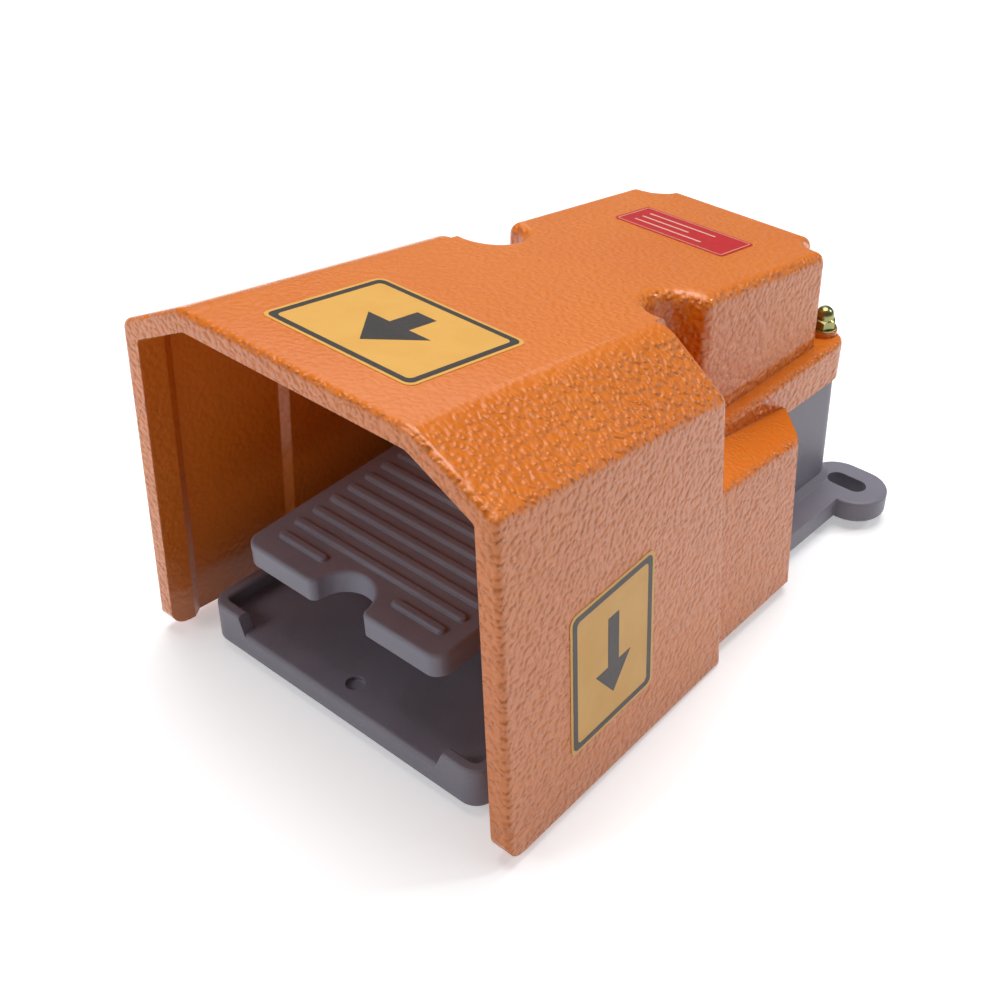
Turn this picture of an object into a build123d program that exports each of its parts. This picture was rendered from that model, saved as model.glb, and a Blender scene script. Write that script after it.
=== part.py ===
from build123d import *

import os
from math import cos, hypot, radians, sin, tan

# Industrial foot switch: a ribbed cast pedal under a cast guard, on a cast base with a closed
# switch chamber at the rear. Millimetres. The ground is z = 0, the guard's mouth is at y = 0 and
# faces -Y, and +X is to the right seen from the front. The export moves everything back along Y,
# so that the origin is the centre of the whole. Each size that can be set by itself is written once.

# Clearances
gap = 0.3                    # plain gap between separate pieces
running = 0.05               # radial clearance of a turning fit
bolt_clearance = 0.3         # radial clearance of a screw in a plain hole
thread_play = 0.02           # radial clearance of a screw in its threaded hole
cut_margin = 12.0            # how far a cutting shape runs past what it opens
lower = (Align.CENTER, Align.CENTER, Align.MIN)

# Base casting
foot_height = 4.0
plate_height = 9.0
plate_skin = 4.0
plate_edge = 5.0
base_half_width = 64.0
base_front = 8.0
base_corner = 7.0
rim_width = 4.5
rim_height = 6.8
rim_end = 160.0
dip_half_width = 46.0
dip_slope = 3.0
dip_edge = 1.6
dimple_y = 17.2
dimple_radius = 3.3
dimple_depth = 1.6
ear_x = 61.0
ear_y = 229.8
ear_radius = 12.6
ear_slot_length = 16.4
ear_slot_radius = 4.2

# Switch chamber, part of the base casting
chamber_half_width = 50.0
chamber_front = 117.0
chamber_rear = 233.0
chamber_top = 58.0
chamber_draft = 2.0
chamber_wall = 4.6
chamber_rear_corner = 10.0
chamber_front_corner = 5.0
chamber_foot = 2.5
gasket_thickness = 1.0
gasket_width = 4.0

# Guard casting
hood_depth = 114.5
hood_lean = 2.6
mouth_bottom = 3.6
hood_rear_bottom = 1.4
hood_wall = 4.6
mouth_wall = 7.4
bead_depth = 9.5
bead_run_out = 4.0
inner_step_y = 54.0
inner_step = 2.6
mouth_corner = 7.0           # rounding of the walls' lower front corners
mouth_shoulder = 128.8
mouth_top = 143.7
mouth_flare = 6.2            # how far the walls' foot stands outside their shoulder
mouth_chamfer = 30.2         # width of the sloping shoulder face
mouth_spread = 6.4           # how far the mouth's foot stands outside the rear's
hood_rear_shoulder = 109.1
hood_rear_flare = 6.2
hood_rear_chamfer = 23.0
hood_step = 3.2              # from the hood's rear foot in to the skirts
crown_radius = 14.0
shoulder_radius = 4.0
top_slope = 0.143            # fall of the guard's top per mm to the rear
skirt_start = 112.0
skirt_end = 188.0
skirt_bottom = 5.0
skirt_room = 3.8             # from the shaft's ends to the skirts' inside
skirt_taper = 1.8            # how much the skirts close in to the rear
skirt_draft = 4.0
skirt_end_draft = 2.7
skirt_front_shoulder = 70.2
skirt_rear_shoulder = 65.4
skirt_front_ridge = 75.0
skirt_rear_ridge = 63.4
skirt_corner_y = 170.0
skirt_end_step = 1.0
flange_half_width = 51.0
flange_rear = 234.0
flange_corner = 10.0
flange_height = 16.0
box_half_width = 45.2
box_draft = 1.6
box_rear = 229.5
box_corner = 4.6
box_edge = 4.0
front_notch_radius = 10.4
rear_notch_radius = 8.6
notch_wall = 3.4
inner_edge_radius = 2.0
rear_edge_radius = 3.0
mouth_edge_radius = 2.0
skirt_edge_radius = 3.0
flange_edge = 2.5

# Cover fixings
stud_x = 41.6
stud_front_y = 130.0
stud_rear_y = 227.5
stud_radius = 2.5
stud_boss_radius = 6.5
stud_bite = 14.0
pad_radius = 5.4
pad_height = 2.0
washer_radius = 5.0
washer_thickness = 0.9
cap_nut_flats = 8.0
cap_nut_hex = 3.6
cap_nut_dome = 4.6

# Pedal, pivot and switch lever
pivot_y = 150.0
pivot_z = 44.0
pedal_travel = 10.0          # degrees that the pedal turns down
shaft_radius = 5.0
arm_inner = 53.0
arm_width = 7.0
arm_boss_radius = 10.0
pedal_front = 11.5
pedal_rear = 107.0
pedal_half_width = 44.7
pedal_top = 53.5
pedal_rise = 0.05
pedal_thickness = 8.6
pedal_skin = 4.0
pedal_corner = 5.6
pedal_edge = 1.4
pedal_flare_y = 84.0
finger_radius = 10.8
finger_y = 13.6
finger_corner = 3.0
rib_pitch = 8.15
rib_first_y = 22.0
rib_count = 10
rib_half_length = 39.0
rib_width = 3.6
rib_rise = 1.3
rib_inner_x = 15.3
pin_radius = 2.0
ring_thickness = 1.2
ring_radius = 7.0
ring_groove_depth = 0.6
shaft_overhang = 2.6
bush_radius = 7.0
bush_flange_radius = 9.5
bush_flange = 1.5
bearing_boss_radius = 11.5
bearing_face = 52.3
bearing_inner = 43.5
seal_radius = 8.6
seal_width = 2.0
lever_half_width = 8.0
lever_hub_radius = 10.0
lever_thickness = 8.0
lever_top = 2.0              # top of the lever's arms above the pivot
toe_reach = 24.0             # from the pivot back to the adjusting screw
toe_end = 7.0
crossbar_depth = 12.0
adjuster_ball = 6.0
adjuster_length = 16.0
spring_x = 16.0
spring_reach = 20.0          # from the pivot forward to the return springs
spring_radius = 5.0
spring_wire = 0.7
spring_turns = 6
spring_seat_height = 2.4
spring_guide_radius = 3.2
spring_guide_height = 6.0
lever_peg_radius = 1.6
lever_peg_height = 3.0

# Snap switch and its bracket
switch_length = 49.0
switch_width = 17.2
switch_height = 24.0
switch_bottom = 56.0
switch_corner = 1.5
switch_screw_pitch = 25.4
switch_screw_rise = 8.0
plunger_radius = 2.4
plunger_bottom = 50.0
plunger_length = 10.0
plunger_play = 0.1
plunger_collar = 2.2
bracket_sheet = 2.0
bracket_seat = 52.0
bracket_y = 193.0
bracket_depth = 12.0
bracket_half_span = 43.0
bracket_tab_length = 52.0
bracket_tab_height = 26.0
bracket_screw_x = 38.5
m4_radius = 2.0
m4_head_radius = 3.6
m4_head_height = 2.6
m4_nut_flats = 7.0
m4_nut_height = 3.2
screw_bite = 7.0
terminal_pitch = 15.0
terminal_length = 12.0
terminal_width = 7.0
terminal_thickness = 0.8
terminal_screw_radius = 1.6
terminal_head_radius = 2.8
terminal_head_height = 2.0
barrier_thickness = 1.2
barrier_height = 5.0
shield_sheet = 1.0
shield_height = 10.0

# Cable entry and earth
entry_z = 35.0
entry_face = 235.0
entry_radius = 10.0
entry_boss_radius = 14.0
entry_boss_length = 9.6
gland_flats = 24.0
gland_collar = 6.0
gland_neck = 10.0
gland_wall = 1.6
gland_bore = 7.4
gland_inner_reach = 15.0
gland_cap_radius = 12.4
gland_cap_length = 15.0
gland_cap_end = 5.0
gland_nut_flats = 27.0
gland_nut_height = 3.6
cable_radius = 4.8
seal_nose_radius = 6.6
earth_x = -29.0
earth_y = 208.0
earth_boss_radius = 5.0
earth_boss_height = 5.0
earth_washer_radius = 4.6
earth_washer_thickness = 1.0

# Feet
foot_x = 53.0
foot_front_y = 22.0
foot_rear_y = 212.0
foot_radius = 8.0
foot_taper = 0.8
foot_boss_radius = 6.5
foot_recess = 2.4
foot_screw_radius = 2.0
foot_screw_bite = 4.6        # how far a foot's screw reaches into the base

# Cast edges and small marks shared by several pieces
cast_edge = 1.2
fine_edge = 0.5

# Sizes that follow from those above
guard_seat = chamber_top + gasket_thickness
chamber_draft_spread = (chamber_top - foot_height - plate_height) * tan(radians(chamber_draft))
flange_top = guard_seat + flange_height
box_top_draft = tan(radians(box_draft))
floor_top = foot_height + plate_height
pad_top = flange_top + pad_height
arm_middle = arm_inner + arm_width / 2
ring_x = arm_inner + arm_width + gap + ring_thickness / 2
shaft_end = arm_inner + arm_width + shaft_overhang
skirt_spread = (pivot_z - skirt_bottom) * tan(radians(skirt_draft))
skirt_rear_half_bottom = shaft_end + skirt_room + hood_wall + skirt_spread - skirt_taper / 2
skirt_front_half_bottom = skirt_rear_half_bottom + skirt_taper
skirt_corner_x = skirt_rear_half_bottom - (skirt_rear_shoulder - skirt_bottom) * tan(radians(skirt_draft))
skirt_end_half_width = flange_half_width + skirt_end_step
hood_rear_half_bottom = skirt_front_half_bottom + hood_step
hood_rear_half_shoulder = hood_rear_half_bottom - hood_rear_flare
hood_rear_half_top = hood_rear_half_shoulder - hood_rear_chamfer
mouth_half_bottom = hood_rear_half_bottom + mouth_spread
mouth_half_shoulder = mouth_half_bottom - mouth_flare
mouth_half_top = mouth_half_shoulder - mouth_chamfer
plunger_y = pivot_y + toe_reach
adjuster_top = plunger_bottom - gap
spring_y = pivot_y - spring_reach
spring_base = floor_top + spring_seat_height
spring_top = pivot_z + lever_top - lever_thickness
earth_seat = floor_top + earth_boss_height
gland_mouth = entry_face + gland_collar + gap + gland_cap_length


def guard_top(y):
    """Height of the guard's top face at a depth."""
    return mouth_top - top_slope * y


def blend(start, end, share):
    """Value a share of the way from start to end."""
    return start + (end - start) * share


def six_sided(y, half_bottom, half_shoulder, half_top, bottom, shoulder, top, lean=0.0, radii=(0, 0)):
    """Closed cross-section of a guard shell, standing across Y and leaning back at its foot."""
    plane = Plane(origin=(0, y, top), x_dir=(1, 0, 0), z_dir=Vector(0, -1, 0).rotate(Axis.X, lean))
    right = [(half_top, 0), (half_shoulder, shoulder - top), (half_bottom, bottom - top)]
    left = [(-x, z) for x, z in reversed(right)]
    face = make_face(Polyline(*right, *left, close=True))
    crown = [v for v in face.vertices() if abs(v.Y) < 0.01]
    shoulders = [v for v in face.vertices() if abs(v.Y - (shoulder - top)) < 0.01]
    if radii[0]:
        face = fillet(crown, radii[0])
        shoulders = [v for v in face.vertices() if abs(v.Y - (shoulder - top)) < 0.01]
    if radii[1]:
        face = fillet(shoulders, radii[1])
    return plane * face


def inset(half_bottom, half_shoulder, half_top, bottom, shoulder, top, wall, drop):
    """Sizes of the hollow inside a six-sided section, run on below its foot by drop."""
    rise = (top - shoulder) / (half_shoulder - half_top)
    slant = wall * hypot(1, rise)
    inner_shoulder = shoulder + rise * wall - slant
    inner_half_top = half_shoulder - (top - wall - shoulder + slant) / rise
    flare = (half_bottom - half_shoulder) / (shoulder - bottom)
    return (
        half_bottom - wall + flare * drop,
        half_shoulder - wall,
        inner_half_top,
        bottom - drop,
        inner_shoulder,
        top - wall,
    )


def hood_sizes(share):
    """Section sizes of the hood a share of the way from its mouth to its rear."""
    return (
        blend(mouth_half_bottom, hood_rear_half_bottom, share),
        blend(mouth_half_shoulder, hood_rear_half_shoulder, share),
        blend(mouth_half_top, hood_rear_half_top, share),
        blend(mouth_bottom, hood_rear_bottom, share),
        blend(mouth_shoulder, hood_rear_shoulder, share),
        guard_top(hood_depth * share),
    )


def hood_shell():
    """Outside of the hood, from its mouth to its rear face, with its cast edges rounded."""
    radii = (crown_radius, shoulder_radius)
    front = six_sided(0, *hood_sizes(0), radii=radii)
    rear = six_sided(hood_depth, *hood_sizes(1), lean=hood_lean, radii=radii)
    shell = loft([front, rear], ruled=True)
    rear_edges = shell.faces().sort_by(Axis.Y)[-1].edges()
    shell = fillet(rear_edges.filter_by(lambda e: e.center().Z > mouth_bottom + 1), rear_edge_radius)
    front_edges = shell.faces().sort_by(Axis.Y)[0].edges()
    return fillet(front_edges.filter_by(lambda e: e.center().Z > mouth_bottom + 1), mouth_edge_radius)


def hood_hollow():
    """Foot space inside the hood, with a thick lip at the mouth and a thicker wall behind a step."""
    back_y = hood_depth - hood_wall
    rear_wall = hood_wall + inner_step
    walls = [
        (-1, mouth_wall, 0),
        (bead_depth, mouth_wall, 0),
        (bead_depth + bead_run_out, hood_wall, 0),
        (inner_step_y, hood_wall, 0),
        (inner_step_y + inner_step, rear_wall, 0),
        (back_y, rear_wall, hood_lean),
    ]
    radii = (crown_radius - mouth_wall, inner_edge_radius)
    sections = []
    for y, wall, lean in walls:
        sizes = inset(*hood_sizes(y / hood_depth), wall, cut_margin)
        sections.append(six_sided(y, *sizes, lean=lean, radii=radii))
    hollow = loft(sections[:2], ruled=True)
    for front, rear in zip(sections[1:-1], sections[2:]):
        hollow += loft([front, rear], ruled=True)
    return hollow


def mouth_corners():
    """What is cut off to round the lower front corners of the hood's walls."""
    size = 2 * mouth_corner
    width = 4 * mouth_half_bottom
    middle = Pos(0, mouth_corner, mouth_bottom + mouth_corner)
    block = Pos(0, 0, mouth_bottom) * Box(width, size, size)
    return block - middle * Rot(0, 90, 0) * Cylinder(mouth_corner, width)


def skirt_sizes(share):
    """Section sizes of the skirts that run back beside the switch chamber."""
    half_bottom = blend(skirt_front_half_bottom, skirt_rear_half_bottom, share)
    shoulder = blend(skirt_front_shoulder, skirt_rear_shoulder, share)
    half_shoulder = half_bottom - (shoulder - skirt_bottom) * tan(radians(skirt_draft))
    ridge = blend(skirt_front_ridge, skirt_rear_ridge, share)
    return half_bottom, half_shoulder, flange_half_width, skirt_bottom, shoulder, ridge


def skirt_plan(back_set):
    """Plan limit of the skirts, whose rear corners are cut off towards the chamber."""
    run = (skirt_end - skirt_corner_y) / (skirt_corner_x - skirt_end_half_width)
    end = skirt_end - back_set * hypot(1, run)
    far = 2 * mouth_half_bottom
    far_y = end - run * (far - skirt_end_half_width)
    right = [(far, -far), (far, far_y), (skirt_end_half_width, end)]
    left = [(-x, y) for x, y in reversed(right)]
    plan = Pos(0, 0, skirt_rear_shoulder) * make_face(Polyline(*right, *left, close=True))
    below = extrude(plan, amount=-skirt_rear_shoulder - 2 * cut_margin, taper=-skirt_end_draft)
    return below + extrude(plan, amount=far)


def skirt_shell():
    """Outside of both skirts."""
    front = six_sided(skirt_start, *skirt_sizes(0), radii=(0, skirt_edge_radius))
    rear = six_sided(skirt_end, *skirt_sizes(1), radii=(0, skirt_edge_radius))
    return loft([front, rear], ruled=True) & skirt_plan(0)


def skirt_hollow():
    """Channels inside the skirts, open below and to the hood, where the pedal's arms swing."""
    front_y = hood_depth - 2 * hood_wall
    front_share = (front_y - skirt_start) / (skirt_end - skirt_start)
    front = six_sided(front_y, *inset(*skirt_sizes(front_share), hood_wall, cut_margin))
    rear = six_sided(skirt_end, *inset(*skirt_sizes(1), hood_wall, cut_margin))
    return loft([front, rear], ruled=True) & skirt_plan(hood_wall)


def above_top(lowered=0.0):
    """Space above the guard's sloping top face, or above a face parallel to it below it."""
    normal = Vector(0, top_slope, 1)
    plane = Plane(origin=(0, 0, mouth_top), x_dir=(1, 0, 0), z_dir=normal).offset(-lowered)
    size = 6 * mouth_half_bottom
    return plane * Box(size, size, mouth_top, align=(Align.CENTER, Align.CENTER, Align.MIN))


def stud_places():
    """Plan position and notch radius of each cover stud."""
    return [
        (side * stud_x, y, radius)
        for side in (-1, 1)
        for y, radius in ((stud_front_y, front_notch_radius), (stud_rear_y, rear_notch_radius))
    ]


def switch_box():
    """Raised rear box of the guard, with a round notch over each cover stud that gives a spanner room."""
    height = guard_top(skirt_start) - flange_top + cut_margin
    start = hood_depth - 3 * rear_edge_radius
    length = box_rear - start
    plan = Pos(0, start + length / 2) * Rectangle(2 * box_half_width, length)
    for x, y, radius in stud_places():
        plan -= Pos(x, y) * Circle(radius)
    plan = fillet([v for v in plan.vertices() if v.Y > stud_front_y], box_corner)
    box = extrude(Pos(0, 0, flange_top) * plan, amount=height, taper=box_draft) - above_top()
    crown = box.edges().filter_by(lambda e: e.center().Z > guard_top(e.center().Y) - 0.5)
    crown = crown.filter_by(lambda e: e.center().Y > stud_front_y - front_notch_radius)
    return fillet(crown, box_edge)


def switch_box_hollow():
    """Space inside the rear box and the flange, clear of the walls round the notches."""
    front = hood_depth + hood_wall
    rear = box_rear - hood_wall
    bottom = guard_seat - cut_margin
    height = guard_top(front) - bottom
    half_width = box_half_width - hood_wall
    plan = Pos(0, (front + rear) / 2, bottom) * Rectangle(2 * half_width, rear - front)
    space = extrude(plan, amount=height) - above_top(hood_wall)
    for x, y, radius in stud_places():
        column = radius + height * box_top_draft + notch_wall
        space -= Pos(x, y, bottom) * Cylinder(column, height, align=lower)
    return space


def flange():
    """Flange that closes on the chamber's rim."""
    front = hood_depth - hood_wall
    length = flange_rear - front
    plan = Pos(0, front + length / 2, guard_seat) * Rectangle(2 * flange_half_width, length)
    body = extrude(plan, amount=flange_height)
    rear_corners = body.edges().filter_by(Axis.Z).filter_by(lambda e: e.center().Y > flange_rear - 1)
    body = fillet(rear_corners, flange_corner)
    top_edges = body.faces().sort_by(Axis.Z)[-1].edges()
    top_edges = top_edges.filter_by(lambda e: e.center().Y > front + 1)
    return fillet(top_edges, flange_edge)


def guard_casting():
    """Hood, skirts, flange and rear box in one casting."""
    body = hood_shell() - mouth_corners() + skirt_shell() - hood_hollow() - skirt_hollow()
    body += flange() + switch_box()
    for x, y, radius in stud_places():
        body += Pos(x, y, flange_top) * Cylinder(pad_radius, pad_height, align=lower)
    body -= switch_box_hollow()
    stud_hole = stud_radius + bolt_clearance
    for x, y, radius in stud_places():
        body -= Pos(x, y, guard_seat - 1) * Cylinder(stud_hole, flange_height + 2 * pad_height, align=lower)
    chamber_room = chamber_half_width + chamber_draft_spread + gap
    length = 2 * chamber_rear
    body -= Pos(0, chamber_front - 1 + length / 2, 0) * Box(2 * chamber_room, length, 2 * guard_seat)
    foot_room = chamber_room + chamber_foot
    foot_front = chamber_front + chamber_half_width - foot_room
    foot_top = floor_top + chamber_foot + gap
    body -= Pos(0, foot_front + length / 2, 0) * Box(2 * foot_room, length, 2 * foot_top)
    plate_room = base_half_width + 2 * gap
    body -= Pos(0, skirt_start + length / 2, 0) * Box(2 * plate_room, length, 2 * (floor_top + 2 * gap))
    return body


def base_outline(height, width_cut=0.0):
    """Rounded block over the base plate's plan, made narrower by a cut all round."""
    length = chamber_rear - base_front - 2 * width_cut
    half_width = base_half_width - width_cut
    corner = max(base_corner - width_cut, 2 * cast_edge)
    plan = Pos(0, (chamber_rear + base_front) / 2) * RectangleRounded(2 * half_width, length, corner)
    return extrude(plan, amount=height)


def tray():
    """Base plate with the low wall round the tray under the pedal, dipped at the front."""
    height = plate_height + rim_height
    block = Pos(0, 0, foot_height) * base_outline(height)
    block -= Pos(0, 0, floor_top) * base_outline(2 * rim_height, rim_width)
    edges = block.edges().filter_by(lambda e: abs(e.center().Z - foot_height - height) < 0.01)
    edges += block.edges().filter_by(lambda e: abs(e.center().Z - foot_height) < 0.01)
    block = fillet(edges, cast_edge)
    block -= Pos(0, rim_end, floor_top) * Box(
        4 * base_half_width, chamber_rear, height, align=(Align.CENTER, Align.MIN, Align.MIN)
    )
    top = floor_top + rim_height + 1
    wide = dip_half_width + dip_slope
    points = [(-wide, top), (-dip_half_width, floor_top), (dip_half_width, floor_top), (wide, top)]
    block -= extrude(make_face(Plane.XZ * Polyline(*points, close=True)), amount=pivot_y / 2, both=True)
    sill = block.edges().filter_by(lambda e: abs(e.center().Z - floor_top) < 0.01)
    sill = sill.filter_by(lambda e: abs(e.center().Y - base_front) < 0.01)
    return fillet(sill, dip_edge)


def ear(side):
    """Mounting ear at a rear corner, a rounded lug round its slot."""
    straight = ear_slot_length - 2 * ear_slot_radius
    lug = extrude(SlotOverall(straight + 2 * ear_radius, 2 * ear_radius), amount=plate_height)
    lug = fillet(lug.faces().filter_by(Axis.Z).edges(), cast_edge)
    return Pos(side * ear_x, ear_y, foot_height) * lug


def ear_slot(side):
    """Slot through an ear, along X."""
    slot = SlotOverall(ear_slot_length, 2 * ear_slot_radius)
    return Pos(side * ear_x, ear_y, 0) * extrude(slot, amount=floor_top + 1)


def foot_places():
    """Plan positions of the four rubber feet."""
    return [(side * foot_x, y) for side in (-1, 1) for y in (foot_front_y, foot_rear_y)]


def at_feet(piece):
    """One copy of a piece at each foot."""
    return [Pos(x, y) * piece for x, y in foot_places()]


def at_studs(piece, z):
    """One copy of a piece at each cover stud, standing at a height."""
    return [Pos(x, y, z) * piece for x, y, radius in stud_places()]


def on_pivot(x, turn=0.0):
    """Place on the pivot axis at x, with the piece's own axis along X."""
    return Pos(x, pivot_y, pivot_z) * Rot(0, 90 + turn, 0)


def chamber_plan(width_cut, z):
    """Rounded plan of the switch chamber, made narrower by a cut all round."""
    length = chamber_rear - chamber_front - 2 * width_cut
    plan = Rectangle(2 * (chamber_half_width - width_cut), length)
    face = Pos(0, (chamber_rear + chamber_front) / 2, z) * plan
    rear = max(chamber_rear_corner - width_cut, chamber_front_corner)
    face = fillet([v for v in face.vertices() if v.Y > pivot_y], rear)
    front = max(chamber_front_corner - width_cut, 2 * cast_edge)
    return fillet([v for v in face.vertices() if v.Y < pivot_y], front)


def chamber():
    """Walls of the switch chamber with its stud posts, bearings, bracket pillars and cable boss."""
    depth = chamber_top - foot_height
    outside = extrude(chamber_plan(0, chamber_top), amount=-depth, taper=-chamber_draft)
    inside = extrude(chamber_plan(chamber_wall, chamber_top), amount=floor_top - chamber_top)
    foot_plan = chamber_plan(-chamber_foot - chamber_draft_spread, floor_top)
    foot = extrude(foot_plan, amount=chamber_foot, taper=45)
    walls = outside + foot - inside
    for post in at_studs(Cylinder(stud_boss_radius, depth, align=lower), foot_height):
        walls += post & outside
    pillar_inner = bracket_screw_x - m4_head_radius
    pillar_outer = chamber_half_width - chamber_wall / 2
    pillar = Box(pillar_outer - pillar_inner, bracket_depth, bracket_seat - foot_height, align=lower)
    for side in (-1, 1):
        middle = side * (bearing_face + bearing_inner) / 2
        walls += on_pivot(middle) * Cylinder(bearing_boss_radius, bearing_face - bearing_inner)
        walls += Pos(side * (pillar_inner + pillar_outer) / 2, bracket_y, foot_height) * pillar
    boss = Cylinder(entry_boss_radius, entry_boss_length, align=lower)
    return walls + Pos(0, entry_face, entry_z) * Rot(90, 0, 0) * boss


def underside():
    """Hollow under the base plate, with ribs and foot bosses left standing in it."""
    height = plate_height - plate_skin + cut_margin
    hollow = Pos(0, 0, foot_height - cut_margin) * base_outline(height, plate_edge)
    for boss in at_feet(Cylinder(foot_boss_radius, 4 * floor_top)):
        hollow -= boss
    for side in (-1, 1):
        hollow -= ear(side)
    rib_places = [blend(base_front, chamber_front, 0.45), chamber_front, pivot_y + toe_reach]
    for y in rib_places:
        hollow -= Pos(0, y) * Box(4 * base_half_width, plate_skin, 4 * floor_top)
    return hollow - Pos(0, chamber_rear / 2) * Box(plate_skin, 2 * chamber_rear, 4 * floor_top)


def spring_seat():
    """Low round seat with a guide peg inside a return spring."""
    seat = Cylinder(spring_radius + 3 * fine_edge, spring_seat_height, align=lower)
    peg = Cylinder(spring_guide_radius, spring_guide_height + spring_seat_height, align=lower)
    return seat + chamfer(peg.edges().sort_by(Axis.Z)[-1], fine_edge)


def base_casting():
    """Tray, ears and switch chamber in one casting, hollow underneath."""
    body = tray() + ear(-1) + ear(1) + chamber() - underside()
    body += Pos(earth_x, earth_y, floor_top) * Cylinder(earth_boss_radius, earth_boss_height, align=lower)
    for side in (-1, 1):
        body -= ear_slot(side)
        body -= on_pivot(side * bearing_inner) * Cylinder(bush_radius, 4 * chamber_wall)
        body -= on_pivot(side * bearing_face) * Cylinder(seal_radius, 2 * seal_width)
        body += Pos(side * spring_x, spring_y, floor_top) * spring_seat()
        body -= Pos(side * bracket_screw_x, bracket_y, bracket_seat) * Cylinder(m4_radius, 2 * screw_bite)
    for hole in at_studs(Cylinder(stud_radius, 2 * stud_bite), chamber_top):
        body -= hole
    foot_hole = Cylinder(foot_screw_radius + thread_play, 2 * (foot_height + foot_screw_bite + 1))
    for hole in at_feet(foot_hole):
        body -= hole
    body -= Pos(0, entry_face, entry_z) * Rot(90, 0, 0) * Cylinder(entry_radius, 3 * entry_boss_length)
    body -= Pos(earth_x, earth_y, earth_seat) * Cylinder(m4_radius, 2 * screw_bite)
    return body - Pos(0, dimple_y, floor_top) * Cylinder(dimple_radius, 2 * dimple_depth)


def rim_gasket():
    """Flat gasket between the chamber's rim and the guard's flange."""
    outline = chamber_plan(gap, chamber_top)
    ring = outline - chamber_plan(gasket_width, chamber_top)
    for eye in at_studs(Circle(stud_boss_radius), chamber_top):
        ring += eye & outline
    gasket = extrude(ring, amount=gasket_thickness)
    for hole in at_studs(Cylinder(stud_radius + gap, 4 * gasket_thickness), chamber_top):
        gasket -= hole
    return gasket


def cover_studs():
    """Threaded studs that stand in the chamber's corner posts."""
    top = pad_top + washer_thickness + cap_nut_hex + cap_nut_dome / 3
    bottom = chamber_top - stud_bite + fine_edge
    stud = Cylinder(stud_radius, top - bottom, align=lower)
    return at_studs(chamfer(stud.edges().filter_by(GeomType.CIRCLE), fine_edge), bottom)


def cover_washers():
    """Flat washers under the cap nuts."""
    washer = Cylinder(washer_radius, washer_thickness, align=lower)
    return at_studs(washer - Cylinder(stud_radius + bolt_clearance, 4 * washer_thickness), pad_top)


def cover_cap_nuts():
    """Domed cap nuts with a chamfered hexagon below."""
    inside = cap_nut_flats / 2
    dome_radius = inside - fine_edge
    hexagon = extrude(RegularPolygon(inside, 6, major_radius=False), amount=cap_nut_hex)
    across_corners = 2 * inside / cos(radians(30))
    bevel = Cone(across_corners / 2 + cap_nut_hex, dome_radius, cap_nut_hex, align=lower)
    neck = cap_nut_dome - dome_radius
    dome = Cylinder(dome_radius, neck, align=lower) + Pos(0, 0, neck) * Sphere(dome_radius)
    nut = (hexagon & bevel) + Pos(0, 0, cap_nut_hex) * (dome & Box(99, 99, 99, align=lower))
    thread = Cylinder(stud_radius, 2 * (cap_nut_hex + cap_nut_dome / 3))
    return at_studs(nut - thread, pad_top + washer_thickness)


def rubber_feet():
    """Round feet, recessed from below for their screws."""
    foot = Cone(foot_radius - foot_taper, foot_radius, foot_height, align=lower)
    foot -= Cylinder(m4_head_radius + gap, 2 * foot_recess)
    return at_feet(foot - Cylinder(foot_screw_radius, 4 * foot_height))


def foot_screws():
    """Pan screws inside the feet."""
    start = foot_recess / 2
    head = Cylinder(m4_head_radius, foot_recess - start, align=lower)
    head = chamfer(head.edges().sort_by(Axis.Z)[0], fine_edge)
    shank = Cylinder(foot_screw_radius, foot_height + foot_screw_bite - start, align=lower)
    slot = Box(4 * m4_head_radius, 2 * fine_edge, fine_edge, align=lower)
    return at_feet(Pos(0, 0, start) * (head + shank - slot))


def pedal_plane():
    """Top plane of the pedal's plate, with y running back from its front edge."""
    normal = Vector(0, -pedal_rise, 1)
    return Plane(origin=(0, pedal_front, pedal_top), x_dir=(1, 0, 0), z_dir=normal)


def pedal_outline(width_cut):
    """Plan of the pedal's plate in its own plane, made narrower by a cut all round."""
    outer = arm_inner + arm_width - width_cut
    half_width = pedal_half_width - width_cut
    flare = pedal_flare_y - pedal_front
    rear = pedal_rear - pedal_front - width_cut
    flare_end = flare + outer - half_width
    right = [(half_width, width_cut), (half_width, flare), (outer, flare_end), (outer, rear)]
    left = [(-x, y) for x, y in reversed(right)]
    face = make_face(Polyline(*right, *left, close=True))
    return fillet([v for v in face.vertices() if v.Y < flare / 2], pedal_corner - width_cut)


def finger_notch(spread):
    """Round notch in the pedal's front edge, grown by a spread."""
    centre = finger_y - pedal_front
    radius = finger_radius + spread
    mouth = Pos(0, centre - radius) * Rectangle(2 * radius, 2 * radius)
    return Pos(0, centre) * Circle(radius) + mouth


def pedal_rib(start, end, y):
    """Raised grip rib between two places across the pedal."""
    rib = extrude(SlotOverall(end - start, rib_width), amount=rib_rise + 1)
    rib = fillet(rib.faces().sort_by(Axis.Z)[-1].edges(), 0.8 * rib_rise)
    return Pos((start + end) / 2, y, -1) * rib


def pedal_ribs():
    """All grip ribs; the first row is split by the finger notch."""
    first = rib_first_y - pedal_front
    end = rib_half_length - rib_rise
    ribs = [pedal_rib(rib_inner_x, end, first), pedal_rib(-end, -rib_inner_x, first)]
    for row in range(1, rib_count):
        ribs.append(pedal_rib(-rib_half_length, rib_half_length, first + row * rib_pitch))
    return ribs


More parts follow.
